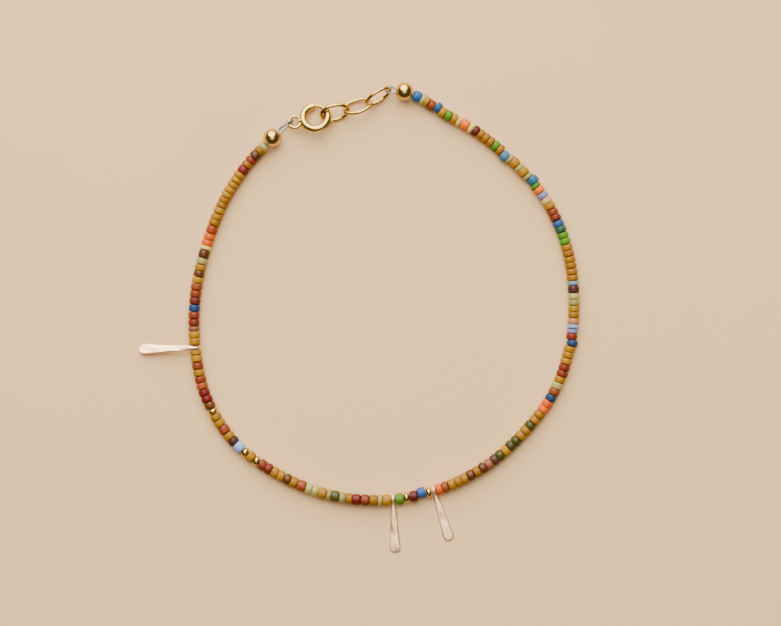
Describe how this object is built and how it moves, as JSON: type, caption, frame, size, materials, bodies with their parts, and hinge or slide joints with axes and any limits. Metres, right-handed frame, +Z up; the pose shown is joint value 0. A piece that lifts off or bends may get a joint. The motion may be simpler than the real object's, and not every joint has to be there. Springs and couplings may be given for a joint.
{
  "type": "seed bead bracelet",
  "caption": "Seed bead bracelet with gold spacers, small hammered paddle drops, crimp covers, a spring ring clasp and a short link extender, lying open in a closed loop.",
  "frame": {"origin": "on the surface it lies on, under the centre of the whole bracelet's box, drops included", "axes": "+Z up from the surface; +Y from the middle of the strand towards the clasp; +X to the right of it seen from above"},
  "size_m": [0.0758, 0.081, 0.0036],
  "materials": {
    "bead_glass": "small glass seed beads of many colours, most of them opaque ochre, glossy",
    "gold_filled": "polished gold-filled metal",
    "paddle_gold": "hand-hammered gold-filled metal, softly bright",
    "beading_wire": "fine silvery beading wire"
  },
  "bodies": {
    "bracelet": {"strand_01": "bead_glass", "strand_02": "bead_glass", "strand_03": "bead_glass", "strand_04": "bead_glass", "strand_05": "bead_glass", "strand_06": "bead_glass", "strand_07": "bead_glass", "strand_08": "bead_glass", "strand_09": "bead_glass", "strand_10": "bead_glass", "strand_11": "bead_glass", "strand_12": "bead_glass", "strand_13": "bead_glass", "strand_14": "bead_glass", "gold_spacer_1": "gold_filled", "gold_spacer_2": "gold_filled", "gold_spacer_3": "gold_filled", "gold_spacer_4": "gold_filled", "gold_spacer_5": "gold_filled", "drop_right": "paddle_gold", "drop_middle": "paddle_gold", "drop_left": "paddle_gold", "cover_chain_side": "gold_filled", "cover_clasp_side": "gold_filled", "wire_loop_chain_side": "beading_wire", "wire_loop_clasp_side": "beading_wire", "extender_link_1": "gold_filled", "extender_link_2": "gold_filled", "extender_link_3": "gold_filled", "clasp_ring": "gold_filled"},
    "clasp_slider": {"clasp_slider": "gold_filled"}
  },
  "joints": [
    {"name": "clasp_trigger", "type": "hinge", "parent": "bracelet", "child": "clasp_slider", "pos_m": [-0.00752, 0.03448, 0.00142], "axis": [-0.0769, 0.3333, 0.9397], "range_deg": [-50, 0], "stiffness_Nm_per_rad": 0.0045, "springref_deg": 8.59}
  ]
}
